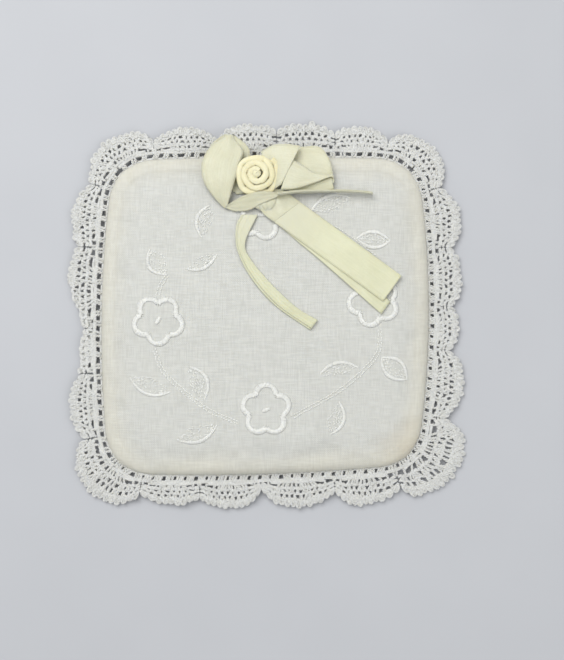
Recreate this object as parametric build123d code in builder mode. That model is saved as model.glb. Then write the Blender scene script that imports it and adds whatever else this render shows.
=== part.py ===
"""Ring bearer pillow: a small flat linen cushion with white embroidery, a crocheted edging of
scalloped fans, and a satin bow with a rolled rose and four loose ribbon ends.

Frame: millimetres, +Z up out of the embroidered face, +Y towards the bow, origin at the centre
of the flat back that the cushion rests on.
"""

import math
import os

from build123d import *

os.makedirs("parts", exist_ok=True)

# ---- driving dimensions, mm ----
# Cushion outline: where its four bowed sides would meet, and the middle of each side, clockwise
# from the upper left. It is cut and sewn by hand, so no two sides are quite alike.
outline_corners = [(-75.5, 77.3), (75.5, 78.3), (74.5, -73.0), (-77.0, -78.0)]
side_middles = [(0.0, 79.1), (81.2, -2.0), (0.0, -78.1), (-81.3, 2.0)]
corner_radius = 23.5
half_width = 81.3

# Cushion section: the face is part of a sphere with a rounded rim, the back lies flat, and the
# heading of the lace lies in the seam between them.
crown_height = 12.5
crown_fall = 3.6
rim_radius = 3.0
back_radius = 2.4
seam_top = 4.1
seam_bottom = 2.9
cloth = 0.6
hem_width = 6.5
filling_clearance = 0.2

# Lace: a heading row of open squares, then fans whose outer edge droops to the table.
heading_depth = 3.6
heading_inside = 1.0
heading_slot = (3.0, 1.3)
heading_slot_pitch = 5.2
lace_thickness = seam_top - seam_bottom
lace_slope = 7.5
fan_gap = 0.2
heading_gap = 0.4
first_fan = (-77.2, 62.6)
# Fans clockwise from there: width along the seam, greatest depth, depth of the valley after it.
fans = [
    (28, 17.5, 9.5),
    (32, 15.5, 9.3),
    (29, 16.8, 14.5),
    (29, 17.4, 12.8),
    (25, 16.0, 8.5),
    (26, 17.3, 9.8),
    (28, 18.1, 12.8),
    (29, 16.4, 12.5),
    (21, 15.2, 11.5),
    (33, 19.0, 10.8),
    (30, 25.0, 13.0),
    (29, 18.2, 10.8),
    (36, 17.2, 6.8),
    (30, 16.8, 12.3),
    (28, 14.8, 10.3),
    (28, 21.3, 11.4),
    (31, 16.8, 11.2),
    (22, 11.0, 8.2),
    (40, 18.2, 14.0),
    (29, 17.7, 11.5),
]

# Thread in the seam, and the turning gap that is closed by hand in the lower edge.
seam_thread = 0.5
seam_stitch_pitch = 8.0
closing_from = 363.5
closing_pitch = 3.2
closing_count = 11

# Embroidery stands this far off the linen, between its lowest and highest thread.
stitch_levels = (0.05, 0.45)
satin_width = 2.2
petal_count = 5
petal_offset = 6.9
petal_radius = 6.0
# Flowers: name, centre, turn in degrees.
flowers = [
    ("top", (-1.5, 49.0), 0),
    ("right", (53.0, 6.6), 40),
    ("bottom", (0.5, -46.0), 18),
    ("left", (-52.0, -2.5), 54),
]
# Leaf sprays: centre, length, width and turn of each leaf.
leaf_sprays = {
    "upper_left": [((-29, 46), 15, 7, 75), ((-31, 26), 15, 4, 25), ((-52, 26), 14, 8, 125)],
    "lower_left": [((-56, -34), 19, 7, 160), ((-33, -33), 16, 8, 115), ((-33, -57), 19, 7, 20)],
    "lower_right": [((36, -27), 16, 5, 10), ((63, -26), 15, 7, 140), ((34, -50), 15, 7, 75)],
    "upper_right": [((32, 54), 19, 7, 20), ((53, 37), 15, 6, 175)],
}
stem_width = 1.0
stems = {
    "left": [(-48, 19), (-51, 14), (-52, 10)],
    "lower_left": [(-54, -17), (-48, -29), (-29, -45), (-14, -52)],
    "lower_right": [(56, -7), (54, -20), (37, -36), (14, -49)],
    "upper_right": [(25, 46), (37, 41), (53, 29)],
}

# Ribbon bow. Heights are over the face.
ribbon_width = 15.5
ribbon = 0.4
bow_lift = 0.5
bow_gap = 0.4
loop_height = 4.4
knot_height = 2.6
# Plan of each loop, from its inner upper end. Each folds over on its outer side.
loop_left_plan = [(-9.8, 79), (-12.3, 84.5), (-19.6, 87.5), (-28.4, 82), (-30.9, 73.7)]
loop_left_plan += [(-29.4, 64), (-24.5, 58), (-18.6, 51.5), (-8.4, 51.5), (-8.3, 61)]
loop_right_plan = [(-2, 78), (5, 80), (17, 83), (30, 82.5), (33.3, 67.4), (32.8, 61.6)]
loop_right_plan += [(11.3, 60.4), (4.5, 60.4), (2, 66)]
knot_plan = [(-8, 60), (-8, 50), (-2.7, 49.2), (1.9, 46.8), (10.7, 59.2), (4, 59.8)]

# Rolled rose: rings of petals as inner radius, outer radius, top and turn.
rose_at = (-4.0, 68.0)
rose_radius = 10.4
rose_base_height = 2.2
petals_from = 11.3
rose_rings = [(8.5, 10.2, 16.2, 0), (6.5, 7.9, 17.8, 50), (4.5, 5.9, 18.8, 20)]
petals_in_ring = 3
petal_slit = 0.6
rose_centre_radius = 3.9
rose_top = 19.2

# Loose ribbon ends: where the two wide ones leave the knot, their heading and their length. The
# upper one is gathered at its start, which keeps it off the tie on edge as it is lifted.
tail_corner = (-2.5, 50.2)
tail_heading = -36.1
tail_length = 74.0
upper_start = 8.4
gathered_width = 12.5
gathered_length = 8.0
upper_levels = (1.8, 2.1)
lower_levels = (0.85, 1.45)
# The lower one is folded lengthwise. This is its plan along and across the upper one.
tail_lower_plan = [(7.2, 0.6), (7.2, 8.3), (75, 2.5), (77, -5.2), (39, -1.5)]
tie_left_edge = [(-11.8, 48.4), (-14.2, 43), (-13.7, 32.1), (-7.4, 18.9), (4.4, 5.1), (21.6, -7.1)]
tie_right_edge = [(26, -2.7), (16.2, 3.2), (4.4, 14), (-5.9, 26.2), (-9.5, 35), (-3.2, 48.4)]
# The tie that stands on edge: its run, and the height of its lower edge along the run.
edge_tie_start = (6.0, 58.2)
edge_tie_end = (52.4, 59.4)
edge_tie_heights = [(0.0, 13.7), (20.0, 12.3), (46.4, 10.0)]
edge_tie_height = 5.0
edge_tie_thickness = 0.6

above_all = 40.0


# ---- shared shapes: the outline and the crowned face that most pieces follow ----
with BuildSketch() as outline:
    with BuildLine():
        for side in reversed(range(4)):
            ThreePointArc(outline_corners[(side + 1) % 4], side_middles[side], outline_corners[side])
    make_face()
    fillet(outline.vertices(), corner_radius)

crown_radius = (half_width**2 + crown_fall**2) / (2 * crown_fall)


def ball(lift=0.0):
    """Everything under the sphere that the face follows, raised or sunk by lift."""
    sphere = Sphere(crown_radius + lift, mode=Mode.PRIVATE)
    return Pos(0, 0, crown_height - crown_radius) * Rot(0, 90, 0) * sphere


def layer(low, high):
    """The layer between two heights over the face."""
    return ball(high) - ball(low)


def surface_height(x, y):
    """Height of the face over a point of the plan."""
    return crown_height - crown_radius + math.sqrt(crown_radius**2 - x**2 - y**2)


def column(inset, bottom, top):
    """The cushion outline, shrunk to lie in by the inset and extruded."""
    with BuildPart(mode=Mode.PRIVATE) as solid:
        with BuildSketch(Plane.XY.offset(bottom)):
            add(outline.sketch)
            scale(by=1 - inset / half_width)
        extrude(amount=top - bottom)
    return solid.part


def front_solid(inset, bottom=seam_top):
    """The cushion above the seam, moved in all round by the inset, with a rounded rim."""
    with BuildPart(mode=Mode.PRIVATE) as solid:
        add(column(inset, bottom, above_all))
        add(ball(-inset), mode=Mode.INTERSECT)
        fillet(solid.faces().sort_by(Axis.Z)[-1].edges(), rim_radius - inset)
    return solid.part


def back_solid(inset, top=seam_bottom):
    """The cushion below the seam, moved in all round by the inset, with a rounded rim."""
    with BuildPart(mode=Mode.PRIVATE) as solid:
        add(column(inset, inset, top))
        fillet(solid.faces().sort_by(Axis.Z)[0].edges(), back_radius - inset)
    return solid.part


def write(part, name):
    """Labels a finished piece and writes its STEP file."""
    part.label = name
    export_step(part, f"parts/{name}.step")


# ---- cushion: two panels, double all round where the seam allowance is turned in ----
with BuildPart() as front_panel:
    add(front_solid(0))
    add(front_solid(2 * cloth), mode=Mode.SUBTRACT)
    add(front_solid(cloth) & column(hem_width, 0, above_all), mode=Mode.SUBTRACT)
write(front_panel.part, "front_panel")

with BuildPart() as back_panel:
    add(back_solid(0))
    add(back_solid(2 * cloth), mode=Mode.SUBTRACT)
    add(back_solid(cloth) & column(hem_width, 0, above_all), mode=Mode.SUBTRACT)
write(back_panel.part, "back_panel")

filling_inset = 2 * cloth + filling_clearance
seam_middle = (seam_bottom + seam_top) / 2
with BuildPart() as fibre_filling:
    add(front_solid(filling_inset, seam_middle))
    add(back_solid(filling_inset, seam_middle))
write(fibre_filling.part, "fibre_filling")


# ---- places along the seam ----
seam_line = outline.sketch.face().outer_wire()
seam_length = seam_line.length
seam_steps = 2000
seam_start = min(
    range(seam_steps), key=lambda step: (seam_line @ (step / seam_steps) - Vector(*first_fan, 0)).length
) / seam_steps


def along_seam(distance, out=0.0):
    """The plan point at a distance clockwise along the seam and a distance out from it."""
    place = (seam_start - distance / seam_length) % 1.0
    forward = seam_line.tangent_at(place) * -1
    return seam_line.position_at(place) + Vector(-forward.Y, forward.X, 0) * out


def frame_at(distance, out=0.0):
    """A location beside the seam whose X runs along it."""
    here, ahead = along_seam(distance, out), along_seam(distance + 0.5, out)
    turn = math.degrees(math.atan2(ahead.Y - here.Y, ahead.X - here.X))
    return Location((here.X, here.Y, 0), (0, 0, turn))


def evenly(pitch):
    """Distances along the seam, evenly spaced at about the pitch."""
    count = round(seam_length / pitch)
    return [index * seam_length / count for index in range(count)]


# ---- lace heading: a flat strip in the seam, with a row of open squares, in four lengths ----
slot_places = [frame_at(place, 0.55 * heading_depth) for place in evenly(heading_slot_pitch)]
with BuildPart() as heading_ring:
    add(column(-heading_depth, seam_bottom, seam_top))
    add(column(heading_inside, 0, above_all), mode=Mode.SUBTRACT)
    with BuildSketch():
        with Locations(*slot_places):
            Rectangle(*heading_slot)
    extrude(amount=above_all, mode=Mode.SUBTRACT)

for side, name in enumerate(("top", "right", "bottom", "left")):
    with BuildPart() as heading:
        add(heading_ring.part)
        with BuildSketch(Plane.XY.rotated((0, 0, 45 - 90 * side))):
            with Locations((fan_gap, fan_gap)):
                Rectangle(200, 200, align=Align.MIN)
        extrude(amount=above_all, mode=Mode.INTERSECT)
    write(heading.part, f"lace_heading_{name}")

# ---- lace fans: flat plates that slope down from the heading to the table ----
inside_fans = column(-heading_depth - fan_gap, 0, above_all)
seam_share = seam_length / sum(width for width, depth, valley in fans)
fan_start = 0.0
for number, (width, depth, valley) in enumerate(fans, start=1):
    fan_end = fan_start + width * seam_share
    middle = (fan_start + fan_end) / 2
    left, right = fan_start + fan_gap, fan_end - fan_gap
    valley_before = fans[number - 2][2]
    flat_plane = Plane(frame_at(middle, heading_depth)).offset(seam_bottom)
    tilt = math.radians(lace_slope)
    fan_plane = Plane(
        origin=flat_plane.origin,
        x_dir=flat_plane.x_dir,
        z_dir=flat_plane.y_dir * math.sin(tilt) + flat_plane.z_dir * math.cos(tilt),
    )

    def spot(distance, out):
        """A point of the fan in its own plane."""
        local = flat_plane.to_local_coords(along_seam(distance, out))
        return (local.X, local.Y)

    inner = heading_depth + heading_gap
    with BuildPart() as fan:
        with BuildSketch(fan_plane):
            with BuildLine():
                ThreePointArc(spot(left, inner), spot(middle, inner), spot(right, inner))
                Line(spot(right, inner), spot(right, valley))
                ThreePointArc(spot(right, valley), spot(middle, depth), spot(left, valley_before))
                Line(spot(left, valley_before), spot(left, inner))
            make_face()
        extrude(amount=lace_thickness)
        add(inside_fans, mode=Mode.SUBTRACT)
    write(fan.part, f"lace_fan_{number:02d}")
    fan_start = fan_end

# ---- seam thread ----
with BuildPart() as seam_stitches:
    with BuildSketch(Plane.XY.offset(seam_bottom - 0.4)):
        with Locations(*[frame_at(place, -0.6) for place in evenly(seam_stitch_pitch)]):
            Circle(seam_thread / 2)
    extrude(amount=lace_thickness + 0.8)
write(seam_stitches.part, "seam_stitches")

with BuildPart() as closing_stitches:
    with BuildSketch(Plane.XY.offset(seam_bottom - 0.3)):
        closings = [closing_from + closing_pitch * number for number in range(closing_count)]
        with Locations(*[frame_at(place, 0.5) for place in closings]):
            Rectangle(1.8, seam_thread, rotation=35)
    extrude(amount=lace_thickness + 0.6)
write(closing_stitches.part, "closing_stitches")

# ---- embroidery ----
stitches = layer(*stitch_levels)


def rosette(radius):
    """Scalloped flower shape of equal petals, drawn in the open sketch."""
    Circle(petal_offset)
    with PolarLocations(petal_offset, petal_count):
        Circle(radius)


for name, place, turn in flowers:
    with BuildPart() as flower_outline:
        with BuildSketch(Plane(origin=(*place, 0)).rotated((0, 0, turn))):
            rosette(petal_radius)
            with BuildSketch(mode=Mode.SUBTRACT):
                rosette(petal_radius - satin_width)
        extrude(amount=above_all)
        add(stitches, mode=Mode.INTERSECT)
    write(flower_outline.part, f"flower_outline_{name}")

    with BuildPart() as flower_centre:
        with BuildSketch(Plane(origin=(*place, 0)).rotated((0, 0, turn))):
            Ellipse(2.2, 1.3)
        extrude(amount=above_all)
        add(stitches, mode=Mode.INTERSECT)
    write(flower_centre.part, f"flower_centre_{name}")

for name, leaves in leaf_sprays.items():
    with BuildPart() as leaf_spray:
        for place, length, width, turn in leaves:
            with BuildSketch(Plane(origin=(*place, 0)).rotated((0, 0, turn))):
                with BuildLine():
                    ThreePointArc((-length / 2, 0), (0, -width / 2), (length / 2, 0))
                    ThreePointArc((length / 2, 0), (0, width / 2), (-length / 2, 0))
                make_face()
            extrude(amount=above_all)
        add(stitches, mode=Mode.INTERSECT)
    write(leaf_spray.part, f"leaf_spray_{name}")

for name, points in stems.items():
    with BuildPart() as stem:
        with BuildSketch():
            for start, end in zip(points, points[1:]):
                run = Vector(*end) - Vector(*start)
                with Locations(((start[0] + end[0]) / 2, (start[1] + end[1]) / 2)):
                    turn = math.degrees(math.atan2(run.Y, run.X))
                    SlotCenterToCenter(run.length, stem_width, rotation=turn)
        extrude(amount=above_all)
        add(stitches, mode=Mode.INTERSECT)
    write(stem.part, f"stem_{name}")

# ---- ribbon rose: three rings of petals on a folded base, round a rolled centre ----
with BuildPart() as rose_column:
    with BuildSketch():
        with Locations(rose_at):
            Circle(rose_radius + bow_gap)
    extrude(amount=above_all)

rose_base = layer(bow_lift, rose_base_height)
with BuildPart() as rose_petals:
    with BuildSketch():
        with Locations(rose_at):
            Circle(rose_radius)
    extrude(amount=above_all)
    add(rose_base, mode=Mode.INTERSECT)
    for inner, outer, top, turn in rose_rings:
        with BuildSketch(Plane.XY.offset(petals_from)):
            with Locations(rose_at):
                Circle(outer)
                Circle(inner, mode=Mode.SUBTRACT)
                with PolarLocations((inner + outer) / 2, petals_in_ring, start_angle=turn):
                    Rectangle(2 * (outer - inner), petal_slit, mode=Mode.SUBTRACT)
        extrude(amount=top - petals_from)
write(rose_petals.part, "rose_petals")

under_centre = ball(rose_base_height + 0.05)
with BuildPart() as rose_centre:
    with BuildSketch(Plane.XY.offset(petals_from)):
        with Locations(rose_at):
            Circle(rose_centre_radius)
    extrude(amount=rose_top - petals_from)
    fillet(rose_centre.faces().sort_by(Axis.Z)[-1].edges(), 1.2)
    add(under_centre, mode=Mode.SUBTRACT)
write(rose_centre.part, "rose_centre")

# ---- bow ----
loop_outside = layer(bow_lift, loop_height)
loop_inside = layer(bow_lift + ribbon, loop_height - ribbon)


def ribbon_loop(plan, fold_side):
    """A flattened loop over the face, folded over on its outer side and open on the others."""
    with BuildPart(mode=Mode.PRIVATE) as hollow:
        with BuildSketch():
            for across in (0.5, 2.5, 4.5):
                for along in (-3, 0, 3):
                    with Locations((-fold_side * across, along)):
                        Polygon(*plan, align=None)
        extrude(amount=above_all)
        add(loop_inside, mode=Mode.INTERSECT)
    with BuildPart(mode=Mode.PRIVATE) as loop:
        with BuildSketch():
            Polygon(*plan, align=None)
        extrude(amount=above_all)
        add(loop_outside, mode=Mode.INTERSECT)
        add(hollow.part, mode=Mode.SUBTRACT)
        add(rose_column.part, mode=Mode.SUBTRACT)
    return loop.part


write(ribbon_loop(loop_left_plan, -1), "bow_loop_left")
write(ribbon_loop(loop_right_plan, 1), "bow_loop_right")

knot_layer = layer(bow_lift, knot_height)
with BuildPart() as bow_knot:
    with BuildSketch():
        Polygon(*knot_plan, align=None)
    extrude(amount=above_all)
    add(knot_layer, mode=Mode.INTERSECT)
    add(rose_column.part, mode=Mode.SUBTRACT)
write(bow_knot.part, "bow_knot")

with BuildPart() as bow_tacking_stitches:
    with BuildSketch(Plane.XY.offset(surface_height(*rose_at) - 1.2)):
        with Locations(rose_at):
            with GridLocations(6, 5, 2, 2):
                Circle(seam_thread / 2)
    extrude(amount=2.4)
write(bow_tacking_stitches.part, "bow_tacking_stitches")

# ---- loose ribbon ends ----
tail_plane = Plane(origin=(*tail_corner, 0)).rotated((0, 0, tail_heading))
upper_layer = layer(*upper_levels)
lower_layer = layer(*lower_levels)

with BuildPart() as tail_upper:
    with BuildSketch(tail_plane):
        with BuildLine():
            Polyline(
                (upper_start, 0),
                (upper_start, gathered_width),
                (upper_start + gathered_length, ribbon_width),
                (tail_length, ribbon_width),
                (tail_length, 0),
                close=True,
            )
        make_face()
    extrude(amount=above_all)
    add(upper_layer, mode=Mode.INTERSECT)
write(tail_upper.part, "tail_upper")

with BuildPart() as tail_lower:
    with BuildSketch(tail_plane):
        Polygon(*tail_lower_plan, align=None)
    extrude(amount=above_all)
    add(lower_layer, mode=Mode.INTERSECT)
write(tail_lower.part, "tail_lower")

with BuildPart() as tie_left:
    with BuildSketch():
        with BuildLine():
            left_side = Spline(*tie_left_edge)
            right_side = Spline(*tie_right_edge)
            Line(left_side @ 1, right_side @ 0)
            Line(right_side @ 1, left_side @ 0)
        make_face()
    extrude(amount=above_all)
    add(lower_layer, mode=Mode.INTERSECT)
write(tie_left.part, "tie_left")

edge_tie_run = Vector(*edge_tie_end) - Vector(*edge_tie_start)
edge_tie_plane = Plane(
    origin=(*edge_tie_start, 0), x_dir=edge_tie_run, z_dir=(edge_tie_run.Y, -edge_tie_run.X, 0)
)
with BuildPart() as tie_right:
    with BuildSketch(edge_tie_plane):
        with BuildLine():
            lower_edge = Spline(*edge_tie_heights)
            upper_edge = Spline(*[(run, height + edge_tie_height) for run, height in edge_tie_heights])
            Line(lower_edge @ 0, upper_edge @ 0)
            Line(lower_edge @ 1, upper_edge @ 1)
        make_face()
    extrude(amount=edge_tie_thickness / 2, both=True)
write(tie_right.part, "tie_right")
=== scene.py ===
"""Looks of the ring bearer pillow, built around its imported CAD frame.

The lace, the embroidery and the stitches are real threads, the cushion's wrinkles come from a cloth
simulation, and the ribbons are thin folded sheets. Shapes are worked out in millimetres in the frame
of the CAD part and scaled to metres as each mesh is made.
"""

import math

import bpy
import numpy as np
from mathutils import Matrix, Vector
from mathutils.bvhtree import BVHTree
from mathutils.geometry import convex_hull_2d
from mathutils.kdtree import KDTree


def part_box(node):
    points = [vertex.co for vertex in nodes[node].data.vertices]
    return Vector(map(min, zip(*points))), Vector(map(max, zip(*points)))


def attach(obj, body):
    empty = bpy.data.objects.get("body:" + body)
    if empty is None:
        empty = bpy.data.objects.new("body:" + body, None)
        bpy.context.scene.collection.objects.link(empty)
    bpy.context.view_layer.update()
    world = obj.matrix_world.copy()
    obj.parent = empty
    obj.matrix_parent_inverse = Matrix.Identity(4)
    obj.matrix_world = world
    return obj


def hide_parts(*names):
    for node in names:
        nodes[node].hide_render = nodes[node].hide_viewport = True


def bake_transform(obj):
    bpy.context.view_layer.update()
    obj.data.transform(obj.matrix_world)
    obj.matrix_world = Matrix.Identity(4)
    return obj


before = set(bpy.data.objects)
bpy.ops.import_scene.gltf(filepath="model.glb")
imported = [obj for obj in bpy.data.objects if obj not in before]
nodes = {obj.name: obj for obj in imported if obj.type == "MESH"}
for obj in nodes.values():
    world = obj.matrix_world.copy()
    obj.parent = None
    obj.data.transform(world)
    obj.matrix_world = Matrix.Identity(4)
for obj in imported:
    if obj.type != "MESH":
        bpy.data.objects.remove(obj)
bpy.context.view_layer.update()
MM = 0.001
random = np.random.default_rng(11)

# Cushion section, mm: the crowned face, the seam, and the hem that is turned in behind the seam.
CROWN_FALL = 3.6
HALF_WIDTH = 81.3
SEAM_Z = 3.5
HEM_WIDTH = 7.4
CROWN_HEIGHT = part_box("front_panel")[1].z / MM
CROWN_RADIUS = (HALF_WIDTH**2 + CROWN_FALL**2) / (2 * CROWN_FALL)

# Lace, mm: depth of the heading, and how steeply the fans slope down from it.
HEADING_DEPTH = 3.6
LACE_SLOPE = math.tan(math.radians(7.5))
RIBBON_WIDTH = 15.5


# ---- small geometry tools ----
def node_points(name):
    """The vertices of a CAD node in millimetres."""
    return np.array([vertex.co for vertex in nodes[name].data.vertices]) / MM


def unit(vectors):
    """Vectors at length 1."""
    return vectors / (np.linalg.norm(vectors, axis=-1, keepdims=True) + 1e-12)


def bearing(turn):
    """The plan direction at an angle."""
    return np.array([math.cos(turn), math.sin(turn)])


def left_of(forward):
    """Plan directions turned a quarter turn to the left."""
    return np.stack([-forward[..., 1], forward[..., 0]], axis=-1)


def spaced(path, step):
    """A path again, with points about a step apart."""
    path = np.asarray(path, float)
    run = np.concatenate([[0], np.cumsum(np.linalg.norm(np.diff(path, axis=0), axis=1))])
    at = np.linspace(0, run[-1], max(4, round(run[-1] / step) + 1))
    return np.stack([np.interp(at, run, path[:, k]) for k in range(path.shape[1])], axis=1)


def smooth_curve(points, count):
    """A smooth curve (Catmull-Rom) through some points."""
    points = np.asarray(points, float)
    padded = np.vstack([2 * points[0] - points[1], points, 2 * points[-1] - points[-2]])
    at = np.linspace(0, len(points) - 1, count)
    index = np.minimum(at.astype(int), len(points) - 2)
    t = (at - index)[:, None]
    p0, p1, p2, p3 = (padded[index + k] for k in range(4))
    return 0.5 * (
        2 * p1
        + (p2 - p0) * t
        + (2 * p0 - 5 * p1 + 4 * p2 - p3) * t**2
        + (3 * p1 - p0 - 3 * p2 + p3) * t**3
    )


def crown(x, y):
    """Height of the crowned face over a point of the plan."""
    return CROWN_HEIGHT - CROWN_RADIUS + np.sqrt(CROWN_RADIUS**2 - x**2 - y**2)


def make_piece(name, points, faces, material, attributes=(), corner_attributes=()):
    """A smooth-shaded mesh object from points in millimetres."""
    mesh = bpy.data.meshes.new(name)
    mesh.from_pydata((np.asarray(points) * MM).tolist(), [], faces)
    mesh.polygons.foreach_set("use_smooth", [True] * len(mesh.polygons))
    for domain, values in (("POINT", attributes), ("CORNER", corner_attributes)):
        for label, data in values:
            mesh.attributes.new(label, "FLOAT", domain).data.foreach_set("value", np.float32(data))
    mesh.materials.append(material)
    piece = bpy.data.objects.new(name, mesh)
    bpy.context.scene.collection.objects.link(piece)
    return piece


# ---- the seam line, read from the front panel ----
SEAM_STEP = 0.25


def read_seam():
    """The cushion's outline as an evenly spaced closed line, clockwise from the start of fan 1."""
    flat = [tuple(point[:2]) for point in node_points("front_panel")]
    hull = np.array([flat[index] for index in convex_hull_2d([Vector(p) for p in flat])])
    area = np.sum(hull[:, 0] * np.roll(hull[:, 1], -1) - hull[:, 1] * np.roll(hull[:, 0], -1))
    if area > 0:
        hull = hull[::-1]
    line = spaced(np.vstack([hull, hull[:1]]), SEAM_STEP)[:-1]
    window = 12
    line = sum(np.roll(line, shift, axis=0) for shift in range(-window, window + 1)) / (2 * window + 1)
    first, last = node_points("lace_fan_01")[:, :2], node_points("lace_fan_20")[:, :2]
    start = first[np.argmin(np.linalg.norm(first - last.mean(axis=0), axis=1))]
    return np.roll(line, -np.argmin(np.linalg.norm(line - start, axis=1)), axis=0)


seam_line = read_seam()
seam_forward = unit(np.roll(seam_line, -4, axis=0) - np.roll(seam_line, 4, axis=0))
seam_out = left_of(seam_forward)
seam_length = float(np.sum(np.linalg.norm(seam_line - np.roll(seam_line, -1, axis=0), axis=1)))
seam_tree = KDTree(len(seam_line))
for place, point in enumerate(seam_line):
    seam_tree.insert((*point, 0), place)
seam_tree.balance()


def along_seam(distance, out):
    """Plan points at distances clockwise along the seam and distances out from it."""
    at = np.asarray(distance) / seam_length * len(seam_line)
    low = np.floor(at).astype(int)
    share = (at - low)[..., None]
    a, b = low % len(seam_line), (low + 1) % len(seam_line)
    middle = seam_line[a] * (1 - share) + seam_line[b] * share
    return middle + (seam_out[a] * (1 - share) + seam_out[b] * share) * np.asarray(out)[..., None]


def from_seam(points):
    """For each plan point, its distance along the seam and its distance out from it."""
    found = [seam_tree.find((point[0], point[1], 0))[1] for point in points]
    offset = np.asarray(points)[:, :2] - seam_line[found]
    return np.array(found) * seam_length / len(seam_line), np.sum(offset * seam_out[found], axis=1)


# ---- materials ----
class Shader:
    """A material with a Principled shader, and short ways to add nodes to it."""

    def __init__(self, name, roughness, sheen=0.0, subsurface=0.0, specular=0.3, anisotropic=0.0):
        self.material = bpy.data.materials.new(name)
        self.material.use_nodes = True
        self.tree = self.material.node_tree
        self.tree.nodes.clear()
        output = self.tree.nodes.new("ShaderNodeOutputMaterial")
        self.shader = self.tree.nodes.new("ShaderNodeBsdfPrincipled")
        self.tree.links.new(self.shader.outputs[0], output.inputs[0])
        for socket, value in (
            ("Roughness", roughness),
            ("Sheen Weight", sheen),
            ("Sheen Roughness", 0.45),
            ("Subsurface Weight", subsurface),
            ("Subsurface Scale", 0.001),
            ("Subsurface Radius", (1.0, 0.85, 0.6)),
            ("Specular IOR Level", specular),
            ("Anisotropic", anisotropic),
        ):
            self.shader.inputs[socket].default_value = value

    def add(self, kind, settings=(), **inputs):
        """A node with its settings and inputs, where an input is a number or another node's output."""
        node = self.tree.nodes.new(kind)
        for label, value in dict(settings).items():
            setattr(node, label, value)
        for label, value in inputs.items():
            socket = node.inputs[int(label[1:])] if label[0] == "_" else node.inputs[label]
            if isinstance(value, bpy.types.NodeSocket):
                self.tree.links.new(value, socket)
            else:
                socket.default_value = value
        return node

    def math(self, operation, *values):
        """The output of a Math node."""
        inputs = {f"_{place}": value for place, value in enumerate(values)}
        return self.add("ShaderNodeMath", {"operation": operation}, **inputs).outputs[0]

    def plus(self, *values):
        """Two values added."""
        return self.math("ADD", *values)

    def times(self, *values):
        """Two values multiplied."""
        return self.math("MULTIPLY", *values)

    def attribute(self, name):
        """The value of a mesh attribute."""
        return self.add("ShaderNodeAttribute", {"attribute_name": name}).outputs["Fac"]

    def place(self, scale=(1.0, 1.0, 1.0)):
        """Position on the object in millimetres, scaled."""
        coordinates = self.add("ShaderNodeTexCoord").outputs["Object"]
        factors = tuple(value / MM for value in scale)
        node = self.add("ShaderNodeVectorMath", {"operation": "MULTIPLY"}, _0=coordinates, _1=factors)
        return node.outputs[0]

    def noise(self, scale, vector=None, detail=2.0, **inputs):
        """The value of a noise pattern."""
        vector = vector or self.place()
        node = self.add("ShaderNodeTexNoise", Vector=vector, Scale=scale, Detail=detail, **inputs)
        return node.outputs["Fac"]

    def spread(self, value, low, high, to_low=0.0, to_high=1.0):
        """A value mapped smoothly from one range to another."""
        settings = {"interpolation_type": "SMOOTHSTEP"}
        inputs = {"_0": value, "_1": low, "_2": high, "_3": to_low, "_4": to_high}
        return self.add("ShaderNodeMapRange", settings, **inputs).outputs[0]

    def mix(self, factor, first, second):
        """Two colours mixed."""
        node = self.add("ShaderNodeMix", {"data_type": "RGBA"}, _0=factor, _6=first, _7=second)
        return node.outputs[2]

    def colour(self, value):
        """Sets the base colour."""
        self.tree.links.new(value, self.shader.inputs["Base Color"])

    def bump(self, height, depth, strength=1.0):
        """Raises the surface by a height pattern of this depth in millimetres."""
        node = self.add("ShaderNodeBump", Height=height, Distance=depth * MM, Strength=strength)
        self.tree.links.new(node.outputs[0], self.shader.inputs["Normal"])


def thread_material(name, light, dark, roughness, plies, depth, sheen=0.3):
    """Cotton thread: helical plies with painted shade in the grooves between them, a little fuzz, and uneven
    shade from stitch to stitch.
    """
    shader = Shader(name, roughness, sheen=sheen, subsurface=0.15)
    turns = shader.times(shader.attribute("ply"), 2 * math.pi * plies)
    strands = shader.math("SINE", turns)
    # Painted shade: the grooves between the plies take the dark colour.
    groove_shade = shader.spread(strands, -1.0, -0.2)
    fuzz = shader.noise(9.0, detail=3.0)
    shade = shader.noise(0.35)
    factor = shader.times(groove_shade, shader.spread(shade, 0.3, 0.7, 0.72, 1.0))
    shader.colour(shader.mix(factor, dark, light))
    height = shader.plus(shader.times(strands, 0.5), fuzz)
    shader.bump(height, depth, 0.7)
    return shader.material


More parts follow.
